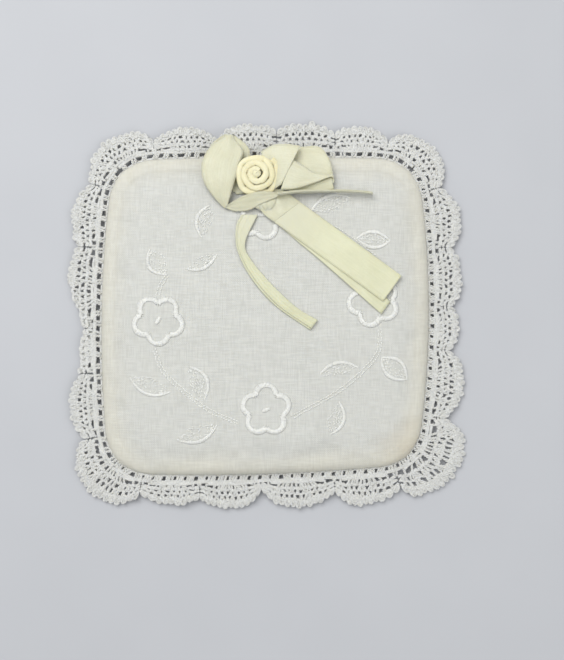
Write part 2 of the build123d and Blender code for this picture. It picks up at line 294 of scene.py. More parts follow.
def linen_material():
    """Plain-weave linen: slubbed threads both ways, creamier over the hem, painted shade along and just
    inside the hem's step, one faint old stain.
    """
    shader = Shader("linen", 0.85, sheen=0.25, subsurface=0.1, specular=0.2)
    split = shader.add("ShaderNodeSeparateXYZ", _0=shader.place())
    wander = shader.times(shader.noise(0.12, detail=3.0), 5.0)
    warp = shader.math("SINE", shader.plus(shader.times(split.outputs[0], 6.4), wander))
    weft = shader.math("SINE", shader.plus(shader.times(split.outputs[1], 6.0), wander))
    crossing = shader.times(warp, weft)
    slub_x = shader.noise(1.0, shader.place((0.16, 2.6, 0.3)), 3.0)
    slub_y = shader.noise(1.0, shader.place((2.4, 0.14, 0.3)), 3.0)
    slubs = shader.plus(slub_x, slub_y)
    height = shader.plus(crossing, shader.times(slubs, 2.2))
    shader.bump(height, 0.09, 0.75)

    inward = shader.attribute("inward")
    ragged = shader.plus(inward, shader.times(shader.noise(0.05), 12.0))
    over_hem = shader.spread(ragged, HEM_WIDTH + 15.0, HEM_WIDTH - 2.0, 0.0, 0.95)
    face = shader.mix(
        shader.spread(slubs, 0.75, 1.25), (0.57, 0.575, 0.538, 1), (0.68, 0.685, 0.645, 1)
    )
    cream = shader.mix(
        shader.spread(slubs, 0.7, 1.3), (0.64, 0.62, 0.53, 1), (0.735, 0.72, 0.625, 1)
    )
    cloth = shader.mix(over_hem, face, cream)
    weave = shader.mix(shader.spread(crossing, -1.0, 0.4, 0.22, 0.0), cloth, (0.52, 0.50, 0.43, 1))
    # Painted shade: a dark line of painted shadow along the hem's step, and a faint grey band of painted
    # shadow just inside it.
    from_step = shader.math("ABSOLUTE", shader.math("SUBTRACT", inward, HEM_WIDTH))
    crease = shader.spread(from_step, 0, 1.3, 0.12, 0)
    shade = shader.spread(inward, HEM_WIDTH, HEM_WIDTH + 9.0, 0.09, 0.0)
    inside = shader.times(shade, shader.spread(inward, HEM_WIDTH - 0.6, HEM_WIDTH + 0.6))
    shaded = shader.mix(inside, weave, (0.44, 0.445, 0.43, 1))
    creased = shader.mix(crease, shaded, (0.5, 0.48, 0.4, 1))
    stain_at = shader.add(
        "ShaderNodeVectorMath", {"operation": "DISTANCE"}, _0=shader.place(), _1=(72.0, -66.0, 8.0)
    )
    stain = shader.plus(stain_at.outputs["Value"], shader.times(shader.noise(0.12), 14.0))
    shader.colour(shader.mix(shader.spread(stain, 30.0, 6.0, 0.0, 0.35), creased, (0.62, 0.52, 0.34, 1)))
    return shader.material


def ribbon_material(name, light, dark, roughness, root=None):
    """Satin ribbon: fine ribs across it, selvedge threads along its edges, soft streaks along it, also
    painted into the colour as sheen.
    """
    shader = Shader(name, roughness, sheen=0.35, subsurface=0.35, specular=0.35, anisotropic=0.4)
    along, across = shader.attribute("along"), shader.attribute("across")
    ribs = shader.math("SINE", shader.times(along, 11.0))
    side = shader.math("MINIMUM", across, shader.math("SUBTRACT", RIBBON_WIDTH, across))
    selvedge = shader.spread(side, 1.9, 0.7)
    cords = shader.times(shader.math("SINE", shader.times(side, 9.0)), selvedge)
    joined = shader.add("ShaderNodeCombineXYZ", _0=shader.times(along, 0.06), _1=across)
    streaks = shader.noise(1.6, joined.outputs[0], 3.0)
    clouds = shader.noise(0.11)
    height = shader.plus(shader.times(ribs, 0.45), shader.times(cords, 1.3))
    height = shader.plus(height, streaks)
    shader.bump(height, 0.05, 0.8)
    # The tone is partly painted light: the streaks along the satin lighten and darken it as a painted sheen
    # of highlights and shade. The clouds and fine noise are uneven tone.
    tone = shader.plus(shader.times(streaks, 0.5), shader.times(clouds, 0.6))
    tone = shader.plus(tone, shader.times(cords, 0.12))
    tone = shader.plus(tone, shader.times(ribs, 0.06))
    tone = shader.plus(tone, shader.times(shader.noise(1.3, detail=3.0), 0.35))
    tone = shader.math("SUBTRACT", tone, 0.17)
    shade = shader.mix(shader.spread(tone, 0.3, 0.8), dark, light)
    if root:
        away = shader.plus(along, shader.times(clouds, 10.0))
        shade = shader.mix(shader.spread(away, 4.0, 34.0), root, shade)
    shader.colour(shade)
    return shader.material


LINEN = linen_material()
CROCHET = thread_material(
    "crochet_cotton", (0.87, 0.87, 0.83, 1), (0.52, 0.515, 0.48, 1), 0.8, 2, 0.1
)
EMBROIDERY = thread_material(
    "embroidery_cotton", (0.94, 0.94, 0.89, 1), (0.80, 0.795, 0.73, 1), 0.45, 2, 0.05, sheen=0.5
)
SEWING = thread_material("sewing_thread", (0.84, 0.82, 0.74, 1), (0.62, 0.60, 0.52, 1), 0.6, 3, 0.04)
SATIN = ribbon_material("satin_ribbon", (0.70, 0.69, 0.53, 1), (0.61, 0.595, 0.43, 1), 0.5)
TAILS = ribbon_material(
    "tail_ribbon", (0.73, 0.725, 0.52, 1), (0.65, 0.645, 0.44, 1), 0.5, (0.66, 0.65, 0.49, 1)
)
ROSE = ribbon_material("rose_ribbon", (0.85, 0.80, 0.55, 1), (0.76, 0.69, 0.42, 1), 0.45)


# ---- threads ----
class Threads:
    """Round threads gathered into one mesh, with a helical coordinate for their plies."""

    sides = 5

    def __init__(self):
        self.points, self.faces, self.ply = [], [], []
        self.count = 0

    def add(self, line, radius, ply_pitch=1.1):
        """One thread along a line, closed at both ends."""
        line = np.asarray(line, float)
        tangent = unit(np.gradient(line, axis=0))
        reference = np.eye(3)[np.argmin(np.abs(tangent).mean(axis=0))]
        side = unit(np.cross(tangent, reference))
        top = np.cross(side, tangent)
        angle = np.arange(self.sides) * 2 * math.pi / self.sides
        around = (
            np.cos(angle)[None, :, None] * side[:, None, :] + np.sin(angle)[None, :, None] * top[:, None, :]
        )
        radii = np.broadcast_to(radius, len(line))[:, None, None]
        self.points.append((line[:, None, :] + around * radii).reshape(-1, 3))

        ring = np.arange(len(line) - 1)[:, None] * self.sides
        here = np.arange(self.sides)[None, :]
        after = (here + 1) % self.sides
        quads = [ring + here, ring + here + self.sides, ring + after + self.sides, ring + after]
        quads = np.stack(quads, axis=-1).reshape(-1, 4) + self.count
        self.faces.extend(quads.tolist())
        run = np.concatenate([[0], np.cumsum(np.linalg.norm(np.diff(line, axis=0), axis=1))]) / ply_pitch
        start, end = run[:-1, None], run[1:, None]
        low, high = here / self.sides, (here + 1) / self.sides
        values = np.stack([start + low, end + low, end + high, start + high], axis=-1)
        self.ply.append(values.reshape(-1))

        last = self.count + (len(line) - 1) * self.sides
        self.faces.append(list(range(self.count, self.count + self.sides)))
        self.faces.append(list(range(last + self.sides - 1, last - 1, -1)))
        self.ply.append(np.zeros(2 * self.sides))
        self.count += len(line) * self.sides

    def finish(self, name, node, material, slot):
        """Makes one piece of all the threads, in place of its CAD node."""
        attributes = [("ply", np.concatenate(self.ply))]
        piece = make_piece(name, np.vstack(self.points), self.faces, material, (), attributes)
        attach(piece, "pillow")
        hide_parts(node)


UP = np.array([0.0, 0.0, 1.0])
STRAND = 0.36
POST_STEP, CHAIN_STEP = 0.45, 0.34
POST_TURNS, TURNS_OVER = 1.3, 3.5


def twisted_post(threads, start, end, spread=0.34):
    """A crochet post: two strands twisted about the line between two points."""
    start, end = np.asarray(start, float), np.asarray(end, float)
    length = np.linalg.norm(end - start)
    t = np.linspace(0, 1, max(5, round(length / POST_STEP) + 1))
    side = unit(np.cross(end - start, UP))
    top = np.cross(side, (end - start) / length)
    phase = random.uniform(0, 2 * math.pi)
    middle = start + t[:, None] * (end - start)
    for strand_number in (0, 1):
        angle = phase + 2 * math.pi * (POST_TURNS * length / TURNS_OVER * t + strand_number / 2)
        swell = spread * (0.75 + 0.45 * np.sin(math.pi * t))
        offset = np.cos(angle)[:, None] * side + 0.7 * np.sin(angle)[:, None] * top
        threads.add(middle + swell[:, None] * offset, STRAND)


def chain_row(threads, path, half_width=0.62, half_height=0.3, braid=2.6):
    """A row of chain stitches along a path: three strands that cross over each other."""
    path = spaced(path, CHAIN_STEP)
    run = np.arange(len(path)) * CHAIN_STEP
    side = unit(np.cross(np.gradient(path, axis=0), UP))
    phase = random.uniform(0, 1)
    for strand_number in range(3):
        angle = 2 * math.pi * (run / braid + strand_number / 3 + phase)
        swing = half_width * np.sin(angle)[:, None] * side
        threads.add(path + swing + half_height * np.sin(2 * angle)[:, None] * UP, STRAND)


def jitter(amount, count=3):
    """A small random offset."""
    return random.normal(0, amount, count)


# ---- lace fans ----
BUMP_PITCH = 3.4
BASE_SHARE = 0.97
FAN_INNER = 3.9
ROW_LEVELS = (0.28, 0.5, 0.74)
LOWEST_THREAD = 0.85
THREAD_REACH = 0.4
VALLEY_SINK = 1.9
# Two fans have their outer edge turned under: depth of the fold at points across the fan.
FOLDS = {18: [(0, 11.6), (0.5, 11.2), (1, 8.4)], 19: [(0, 8.4), (0.2, 11.8), (0.5, 16.2), (0.8, 20)]}


class Fan:
    """One scalloped fan, placed over its CAD node."""

    def __init__(self, number):
        points = node_points(f"lace_fan_{number:02d}")
        distance, out = from_seam(points)
        distance = (distance + seam_length / 4) % seam_length - seam_length / 4 if number == 1 else distance
        if number == 20:
            distance = np.where(distance < seam_length / 2, distance + seam_length, distance)
        self.number = number
        self.left, self.right = distance.min(), distance.max()
        self.valley_left = out[distance < self.left + 1].max() - VALLEY_SINK
        self.valley_right = out[distance > self.right - 1].max() - VALLEY_SINK
        self.depth = out.max() - THREAD_REACH
        self.fold = FOLDS.get(number)
        if self.fold:
            self.valley_left = self.valley_right = 13.0
            self.depth = max(self.depth, 16.5)

    def place(self, across, level):
        """Points of the fan: across from 0 to 1, level from 0 at the heading to 1 at the outer edge."""
        across, level = np.broadcast_arrays(np.asarray(across, float), np.asarray(level, float))
        narrowing = BASE_SHARE + (1 - BASE_SHARE) * np.clip(level, 0, 1) ** 0.8
        distance = self.left + (self.right - self.left) * (0.5 + (across - 0.5) * narrowing)
        valley = self.valley_left + (self.valley_right - self.valley_left) * across
        bulge = np.clip(1 - np.abs(2 * across - 1) ** 2.2, 0, 1) ** 0.75
        edge = valley + (self.depth - valley) * bulge
        out = FAN_INNER + (edge - FAN_INNER) * level
        under = np.zeros(out.shape)
        if self.fold:
            fold_at = np.interp(across, *zip(*self.fold))
            beyond = np.maximum(out - fold_at, 0)
            out = out - 2 * beyond
            under = np.minimum(beyond * 1.6, 1.5)
        wave = 0.22 * np.sin(distance / 7.3 + self.number) + 0.18 * np.sin(distance / 3.1)
        height = SEAM_Z + 0.35 - (out - HEADING_DEPTH) * LACE_SLOPE + wave * np.clip(out / 12, 0, 1)
        height = np.maximum(height - under, LOWEST_THREAD)
        return np.concatenate([along_seam(distance, out), height[..., None]], axis=-1)

    def row(self, threads, level, ends=(0.0, 1.0), teeth=0, **settings):
        """A chain row across the fan, drawn in and out by the stitches that hang on it."""
        across = np.linspace(*ends, 120)
        pull = 0.024 * np.cos(2 * math.pi * teeth * across)
        pull = pull + 0.016 * np.sin(17 * across + self.number) + 0.01 * np.sin(41 * across + 2 * self.number)
        path = self.place(across, level + pull)
        wobble = 0.2 * np.sin(np.linspace(0, 13 * math.pi, 120) + self.number)
        chain_row(threads, path + wobble[:, None] * UP, **settings)

    def posts(self, threads, places, low, high, lean=1.0):
        """A row of posts across the fan, between two levels."""
        for place in places:
            place = place + random.normal(0, 0.01)
            foot = self.place(0.5 + (place - 0.5) * lean, low) + jitter(0.22)
            head = self.place(place, high) + jitter(0.25)
            twisted_post(threads, foot, head)

    def forks(self, threads, middles, half, low, high):
        """A row of V stitches: two posts that part from one foot."""
        for middle in middles:
            foot = self.place(middle + random.normal(0, 0.012), low) + jitter(0.2)
            for side in (-1, 1):
                head = self.place(middle + side * half + random.normal(0, 0.01), high)
                twisted_post(threads, foot, head + jitter(0.24))

    def bump(self, threads, middle, half):
        """One puffed shell of the outer edge: posts that spread from one stitch, under a rolled chain."""
        reach = 1.0 + random.normal(0, 0.03)
        lift = (0.2 + random.uniform(-0.15, 0.4)) * UP
        low = ROW_LEVELS[-1]
        for side in (-0.8, 0.0, 0.8):
            foot = self.place(middle + 0.35 * side * half, low + 0.01) + jitter(0.1)
            head = self.place(middle + 0.75 * side * half, (0.95 - 0.09 * side * side) * reach) + lift
            twisted_post(threads, foot, head + jitter(0.12))
        sweep = np.linspace(-1, 1, 13)
        level = (1.0 - 0.2 * np.abs(sweep) ** 2.0) * reach
        cap = self.place(middle + 0.8 * half * np.sin(sweep * 1.45) / math.sin(1.45), level)
        cap[[0, -1]] = self.place(middle + np.array([-0.62, 0.62]) * half, low + 0.04)
        chain_row(threads, cap + lift + jitter(0.1), half_width=0.42, half_height=0.42, braid=1.9)

    def build(self):
        """The fan's threads as one piece."""
        threads = Threads()
        rim = self.place(np.linspace(0, 1, 80), 1.0)
        count = round(np.sum(np.linalg.norm(np.diff(rim, axis=0), axis=1)) / BUMP_PITCH)
        width = 1 / count
        middles = (np.arange(count) + 0.5) * width
        first, second, third = ROW_LEVELS
        self.posts(threads, np.linspace(0.22, 0.78, 12), 0.0, first, lean=0.78)
        self.posts(threads, (0.0, 0.1, 0.9, 1.0), 0.0, first)
        self.row(threads, 0.02, (0.12, 0.88), half_width=0.45)
        self.row(threads, first, teeth=count, half_width=0.5)
        self.forks(threads, middles, 0.25 * width, first, second)
        self.row(threads, second, teeth=-count, half_width=0.42)
        self.forks(threads, middles[:-1] + 0.5 * width, 0.25 * width, second, third)
        self.row(threads, third, teeth=count, half_width=0.42)
        for middle in middles:
            self.bump(threads, middle, 0.5 * width)
        threads.finish(
            f"crochet_fan_{self.number:02d}", f"lace_fan_{self.number:02d}", CROCHET, "crochet_cotton"
        )


for fan_number in range(1, 21):
    Fan(fan_number).build()


# ---- lace heading: two chain rows with pairs of posts between, which leave open slots ----
SLOT_PITCH = 5.2
heading_angles = {"top": 90, "right": 0, "bottom": -90, "left": 180}


def heading_piece(side, middle_angle):
    """The heading along one side of the cushion, over its CAD node."""
    angles = np.degrees(np.arctan2(seam_line[:, 1], seam_line[:, 0]))
    off = (angles - middle_angle + 180) % 360 - 180
    inside = np.flatnonzero(np.abs(off) < 45)
    ordered = inside[np.argsort(-off[inside])]
    distance = ordered * seam_length / len(seam_line)
    distance = np.where(distance < distance[0], distance + seam_length, distance)
    first, last = distance[0] + 0.3, distance[-1] - 0.3
    threads = Threads()

    def spot(at, out, lift=0.0):
        """A point of the heading."""
        flat = along_seam(np.asarray(at), np.asarray(out))
        height = np.full(flat.shape[:-1] + (1,), SEAM_Z + 0.15 + lift)
        return np.concatenate([flat, height], axis=-1)

    run = np.linspace(first, last, 120)
    chain_row(threads, spot(run, np.full(120, 0.2), -0.5), half_width=0.3)
    chain_row(threads, spot(run, 3.3 + 0.2 * np.sin(run / 2.3)))
    steps = (0.0, 1.5) if side in ("top", "left") else (0.0, 1.3, 2.6)
    for at in np.arange(first + 1.2, last - 0.8, SLOT_PITCH):
        lean = random.normal(0.5, 0.5)
        for step in steps:
            foot = spot(at + step, 0.3) + jitter(0.12)
            twisted_post(threads, foot, spot(at + step + lean, 3.2) + jitter(0.15), spread=0.4)
    threads.finish(f"crochet_heading_{side}", f"lace_heading_{side}", CROCHET, "crochet_cotton")


for heading_side, heading_angle in heading_angles.items():
    heading_piece(heading_side, heading_angle)


# ---- cushion ----
GRID = 52
SEAM_PROUD = 0.95
INFLATE_FRAMES = 20
INFLATE_CAP = 4.0


def cushion_grid():
    """Plan points of a square grid bent to the outline, as an array of rows and columns."""
    line = np.linspace(-1, 1, GRID + 1)
    across, up = np.meshgrid(line, line, indexing="ij")
    ring = np.maximum(np.abs(across), np.abs(up))
    angle = np.arctan2(up, across)
    seam_angle = np.arctan2(seam_line[:, 1], seam_line[:, 0])
    order = np.argsort(seam_angle)
    radius = np.linalg.norm(seam_line, axis=1) + SEAM_PROUD
    reach = np.interp(angle, seam_angle[order], radius[order], period=2 * math.pi)
    inner = np.stack([across, up], axis=-1) * HALF_WIDTH * 0.97
    outer = np.stack([np.cos(angle), np.sin(angle)], axis=-1) * (reach * ring)[..., None]
    weight = (ring**4)[..., None]
    return inner * (1 - weight) + outer * weight


def face_profile(x, y, inward):
    """Height of the cushion's face: the crown, falling in a round edge to the seam."""
    edge = np.clip(1 - inward / 4.6, 0, 1)
    return SEAM_Z + (crown(x, y) - 0.15 - SEAM_Z) * (1 - edge**2.2) ** 0.5


def back_profile(inward):
    """Height of the cushion's back: flat on the table, with a round edge up to the seam."""
    edge = np.clip(1 - inward / 5.0, 0, 1)
    return 0.05 + (SEAM_Z - 0.05) * (1 - (1 - edge**2.2) ** 0.5)


def inflate(piece, seam_indices):
    """Inflates a closed sheet by cloth simulation with its seam held, and returns how it moved."""
    group = piece.vertex_groups.new(name="seam")
    group.add(seam_indices, 1.0, "REPLACE")
    cloth = piece.modifiers.new("inflate", "CLOTH")
    settings = cloth.settings
    settings.quality = 6
    settings.mass = 0.15
    settings.tension_stiffness = 12
    settings.compression_stiffness = 12
    settings.shear_stiffness = 6
    settings.bending_stiffness = 0.3
    settings.use_pressure = True
    settings.uniform_pressure_force = 4
    settings.vertex_group_mass = "seam"
    settings.shrink_min = -0.025
    settings.effector_weights.gravity = 0
    cloth.collision_settings.use_collision = False
    cloth.point_cache.frame_end = INFLATE_FRAMES
    rest = np.array([vertex.co for vertex in piece.data.vertices]) / MM
    for number in range(1, INFLATE_FRAMES + 1):
        bpy.context.scene.frame_set(number)
    evaluated = piece.evaluated_get(bpy.context.evaluated_depsgraph_get())
    blown = np.array([vertex.co for vertex in evaluated.data.vertices]) / MM
    piece.modifiers.remove(cloth)
    bpy.context.scene.frame_set(1)
    moved = blown - rest
    size = np.linalg.norm(moved, axis=1, keepdims=True)
    return moved * np.minimum(1, INFLATE_CAP / np.maximum(size, 1e-9))


def blurred(values, passes):
    """A grid of values, smoothed."""
    for _ in range(passes):
        padded = np.pad(values, 1, mode="edge")
        values = (padded[:-2, 1:-1] + padded[2:, 1:-1] + padded[1:-1, :-2] + padded[1:-1, 2:]) / 4
    return values


def cushion_piece():
    """The stuffed linen cushion, as one closed mesh."""
    plan = cushion_grid()
    size = GRID + 1
    face_index = np.arange(size * size).reshape(size, size)
    back_index = face_index.copy()
    back_index[1:-1, 1:-1] = size * size + np.arange((size - 2) ** 2).reshape(size - 2, size - 2)
    inward = -from_seam(plan.reshape(-1, 2))[1].reshape(size, size)
    inward = np.maximum(inward, 0)
    face = face_profile(plan[..., 0], plan[..., 1], inward)
    back = back_profile(inward)
    face[[0, -1], :] = face[:, [0, -1]] = SEAM_Z
    points = np.vstack(
        [
            np.concatenate([plan, face[..., None]], axis=-1).reshape(-1, 3),
            np.concatenate([plan, back[..., None]], axis=-1)[1:-1, 1:-1].reshape(-1, 3),
        ]
    )
    faces = []
    ring = ((0, 0), (1, 0), (1, 1), (0, 1))
    for i in range(GRID):
        for j in range(GRID):
            faces.append([face_index[i + down, j + over] for down, over in ring])
            faces.append([back_index[i + over, j + down] for down, over in ring])
    piece = make_piece("cushion", points, faces, LINEN)
    seam = np.concatenate([face_index[0], face_index[-1], face_index[:, 0], face_index[:, -1]])
    moved = inflate(piece, [int(index) for index in np.unique(seam)])
    wrinkles = moved[: size * size, 2].reshape(size, size)
    wrinkles = np.clip(wrinkles - blurred(wrinkles, 14), -0.7, 0.45)
    points[: size * size, 2] += (wrinkles * np.clip(inward / 3, 0, 1)).reshape(-1)
    points[: size * size, :2] += 0.25 * moved[: size * size, :2]
    piece.data.vertices.foreach_set("co", (points * MM).astype(np.float32).ravel())
    subdivide(piece, 2)
    add_cloth_detail(piece)
    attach(piece, "pillow")
    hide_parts("front_panel", "back_panel", "fibre_filling")
    return piece


def subdivide(piece, levels):
    """Applies a smooth subdivision to a piece."""
    modifier = piece.modifiers.new("subdivide", "SUBSURF")
    modifier.levels = levels
    modifier.render_levels = levels
    evaluated = piece.evaluated_get(bpy.context.evaluated_depsgraph_get())
    mesh = bpy.data.meshes.new_from_object(evaluated)
    piece.modifiers.clear()
    piece.vertex_groups.clear()
    piece.data = mesh


def add_cloth_detail(piece):
    """Adds the hem's step, puckers along the seam and slack in the face, and stores the distance in."""
    points = np.array([vertex.co for vertex in piece.data.vertices]) / MM
    distance, out = from_seam(points)
    inward = np.maximum(-out, 0)
    x, y = points[:, 0], points[:, 1]
    slack = (
        0.22 * np.sin(x / 9.1 + 1.3 * np.sin(y / 17))
        + 0.18 * np.sin(y / 7.7 + 1.1 * np.sin(x / 21) + 2)
        + 0.1 * np.sin((x + y) / 4.3 + 2 * np.sin(y / 11))
    )
    wander = HEM_WIDTH + 0.35 * np.sin(distance / 8.3) + 0.25 * np.sin(distance / 3.7 + 1)
    hem_step = 0.22 / (1 + np.exp((inward - wander) / 0.5))
    hem_ridge = (0.1 + 0.08 * np.sin(distance / 5.9)) * np.exp(-(((inward - wander + 0.7) / 0.8) ** 2))
    sunk = -0.25 * np.exp(-(((inward - wander - 3.5) / 3.0) ** 2))
    gathered = 0.6 + 0.4 * np.sin(distance / 31 + 1)
    pucker = np.sin(distance / 1.05 + 1.4 * np.sin(distance / 6.1)) * np.exp(-inward / 3.2)
    long_pucker = np.sin(distance / 2.6 + 2.2 * np.sin(distance / 13)) * np.exp(-(((inward - 6) / 6) ** 2))
    fade = np.clip(inward / 1.5, 0, 1)
    detail = 0.8 * slack * np.clip(inward / 12, 0, 1) + hem_step + hem_ridge + sunk
    detail = detail + gathered * (0.2 * pucker + 0.16 * long_pucker)
    on_face = np.clip((points[:, 2] - SEAM_Z) / 1.5, 0, 1)
    points[:, 2] += detail * fade * on_face
    points[:, 2] = np.maximum(points[:, 2], 0.02)
    piece.data.vertices.foreach_set("co", (points * MM).astype(np.float32).ravel())
    attribute = piece.data.attributes.new("inward", "FLOAT", "POINT")
    attribute.data.foreach_set("value", inward.astype(np.float32))
    piece.data.polygons.foreach_set("use_smooth", [True] * len(piece.data.polygons))


cushion = cushion_piece()

# Height of the finished face over the plan, on a grid that is read in between.
HEIGHT_STEP = 1.0
height_axis = np.arange(-86, 86 + HEIGHT_STEP, HEIGHT_STEP)


def read_heights():
    """Heights of the cushion's face on the grid."""
    mesh = cushion.data
    tree = BVHTree.FromPolygons([v.co for v in mesh.vertices], [p.vertices for p in mesh.polygons])
    heights = np.full((len(height_axis), len(height_axis)), SEAM_Z)
    for i, x in enumerate(height_axis):
        for j, y in enumerate(height_axis):
            hit = tree.ray_cast(Vector((x * MM, y * MM, 0.1)), Vector((0, 0, -1)))[0]
            if hit:
                heights[i, j] = hit.z / MM
    return heights


face_heights = read_heights()


def on_face(plan, lift=0.0):
    """Plan points raised to stand this far over the cushion's face."""
    plan = np.asarray(plan, float)
    at = np.clip((plan - height_axis[0]) / HEIGHT_STEP, 0, len(height_axis) - 1.001)
    low = at.astype(int)
    share = at - low
    i, j = low[..., 0], low[..., 1]
    u, v = share[..., 0], share[..., 1]
    height = (
        face_heights[i, j] * (1 - u) * (1 - v)
        + face_heights[i + 1, j] * u * (1 - v)
        + face_heights[i, j + 1] * (1 - u) * v
        + face_heights[i + 1, j + 1] * u * v
    )
    return np.concatenate([plan, (height + lift)[..., None]], axis=-1)


# ---- embroidery ----
FLOSS_LOOK = (EMBROIDERY, "embroidery_cotton")
SATIN_SLANT, SATIN_PITCH = 0.28, 0.38
FLOSS, FLOSS_PITCH = 0.21, 0.7
STEM_HALF = 0.75
LEAF_LENGTHENED, LEAF_WIDENED = 1.08, 1.3
SEEDS_PER_SQUARE_MM = 0.38
PETALS = 5
PETAL_OFFSET = 6.9
PETAL_RADIUS = 4.9
FLOWER_TURNS = {"top": 0, "right": 40, "bottom": 18, "left": 54}
# Leaves of each spray: centre, length, width, turn, and which sides are edged with satin stitch.
LEAVES = {
    "upper_left": [
        ((-29, 46), 15, 7, 75, "high"),
        ((-31, 26), 15, 5, 25, "low"),
        ((-52, 26), 14, 8, 125, "high"),
    ],
    "lower_left": [
        ((-56, -34), 19, 7, 160, "high"),
        ((-33, -33), 16, 8, 115, "low"),
        ((-33, -57), 19, 7, 20, "low"),
    ],
    "lower_right": [
        ((36, -27), 17, 6, 10, "high"),
        ((63, -26), 15, 7, 140, "both"),
        ((34, -50), 15, 7, 75, "low"),
    ],
    "upper_right": [((32, 54), 19, 7, 20, "high"), ((53, 37), 15, 6, 175, "both")],
}
STEMS = {
    "left": [(-48, 19), (-51, 14), (-52, 10)],
    "lower_left": [(-54, -17), (-48, -29), (-29, -45), (-14, -52)],
    "lower_right": [(56, -7), (54, -20), (37, -36), (14, -49)],
    "upper_right": [(25, 46), (37, 41), (53, 29)],
}


def satin_band(threads, line, width, rise=0.52):
    """Satin stitch along a plan line: threads laid side by side across it, over a padded ridge."""
    line = spaced(line, SATIN_PITCH)
    width = np.broadcast_to(width, 2) if np.ndim(width) == 0 else np.asarray(width)
    widths = np.interp(np.linspace(0, 1, len(line)), np.linspace(0, 1, len(width)), width)
    forward = unit(np.gradient(line, axis=0))
    across = left_of(forward) + SATIN_SLANT * forward
    sweep = np.linspace(-1, 1, 7)
    for middle, side, stretch in zip(line, across, widths):
        reach = stretch / 2 * (1 + random.normal(0, 0.07))
        plan = middle + sweep[:, None] * side * reach + jitter(0.04, 2)
        lift = 0.04 + rise * min(1, stretch / 1.6) * (1 - sweep**2) ** 0.6
        threads.add(on_face(plan, lift), FLOSS, ply_pitch=FLOSS_PITCH)


def seed_stitch(threads, middle, turn, length, strand=0.22):
    """One tiny straight stitch."""
    sweep = np.linspace(-0.5, 0.5, 5)
    plan = np.asarray(middle) + sweep[:, None] * bearing(turn) * length
    threads.add(on_face(plan, 0.02 + 0.24 * (1 - (2 * sweep) ** 2)), strand, ply_pitch=FLOSS_PITCH)


def flower_radius(angle, petal_radius):
    """Radius of the scalloped flower outline at an angle from a petal's middle."""
    sector = 2 * math.pi / PETALS
    off = (angle + sector / 2) % sector - sector / 2
    return PETAL_OFFSET * np.cos(off) + np.sqrt(petal_radius**2 - (PETAL_OFFSET * np.sin(off)) ** 2)


for flower, turn in FLOWER_TURNS.items():
    low_corner, high_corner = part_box(f"flower_centre_{flower}")
    heart = np.array((low_corner + high_corner)[:2]) / 2 / MM
    angle = np.linspace(0, 2 * math.pi, 240)
    radius = flower_radius(angle, PETAL_RADIUS) * (1 + 0.03 * np.sin(2 * angle + turn))
    turned = angle + math.radians(turn)
    outline = heart + radius[:, None] * np.stack([np.cos(turned), np.sin(turned)], axis=1)
    outline_threads = Threads()
    satin_band(outline_threads, outline, 2.55 + 0.25 * np.sin(np.linspace(0, 31, 60)))
    outline_threads.finish(f"flower_satin_{flower}", f"flower_outline_{flower}", *FLOSS_LOOK)
    knot_threads = Threads()
    lean = bearing(math.radians(turn))
    satin_band(knot_threads, [heart - 1.7 * lean, heart + 1.7 * lean], (1.3, 2.3, 1.3), rise=0.5)
    knot_threads.finish(f"flower_knot_{flower}", f"flower_centre_{flower}", *FLOSS_LOOK)

for spray, leaves in LEAVES.items():
    leaf_threads = Threads()
    for centre, length, width, turn, edges in leaves:
        length, width = LEAF_LENGTHENED * length, LEAF_WIDENED * width
        heading = math.radians(turn)
        ahead = bearing(heading)
        aside = left_of(ahead)
        run = np.linspace(-1, 1, 25)
        for side, label in ((1, "high"), (-1, "low")):
            if edges in (label, "both"):
                bowed = side * width / 2 * (1 - run**2)
                edge = np.array(centre) + run[:, None] * ahead * length / 2 + bowed[:, None] * aside
                satin_band(leaf_threads, edge, (0.5, 1.4, 1.8, 1.4, 0.5), rise=0.45)
        for _ in range(round(length * width * SEEDS_PER_SQUARE_MM)):
            along, level = random.uniform(-0.85, 0.85), random.uniform(-0.75, 0.75)
            spot = np.array(centre) + along * ahead * length / 2
            spot = spot + level * (1 - along**2) * width / 2 * aside
            seed_stitch(leaf_threads, spot, heading + random.normal(0, 0.5), random.uniform(0.7, 1.15))
    leaf_threads.finish(f"leaf_stitches_{spray}", f"leaf_spray_{spray}", *FLOSS_LOOK)

for stem, points in STEMS.items():
    stem_threads = Threads()
    line = spaced(smooth_curve(points, 60), 1.35)
    forward = unit(np.gradient(line, axis=0))
    aside = left_of(forward)
    for row, offset in ((0, STEM_HALF), (1, -STEM_HALF)):
        for number in range(len(line)):
            spot = line[number] + offset * aside[number] + 0.6 * row * forward[number] + jitter(0.12, 2)
            direction = math.atan2(forward[number, 1], forward[number, 0])
            seed_stitch(stem_threads, spot, direction + random.normal(0, 0.25), 1.05, 0.26)
    stem_threads.finish(f"stem_stitches_{stem}", f"stem_{stem}", *FLOSS_LOOK)


# ---- sewing thread ----
SEAM_STITCHES = 73
CLOSING_STITCHES = 11
seam_threads = Threads()
for number in range(SEAM_STITCHES):
    at = (number + 0.5) * seam_length / SEAM_STITCHES
    sweep = np.linspace(0, 1, 8)
    flat = along_seam(at + 0.9 * sweep, 1.0 - 1.5 * sweep)
    rise = SEAM_Z + 0.65 + 0.35 * np.sin(math.pi * sweep)
    seam_threads.add(np.concatenate([flat, rise[:, None]], axis=1), 0.14, ply_pitch=0.6)
seam_threads.finish("seam_whip_stitches", "seam_stitches", SEWING, "sewing_thread")

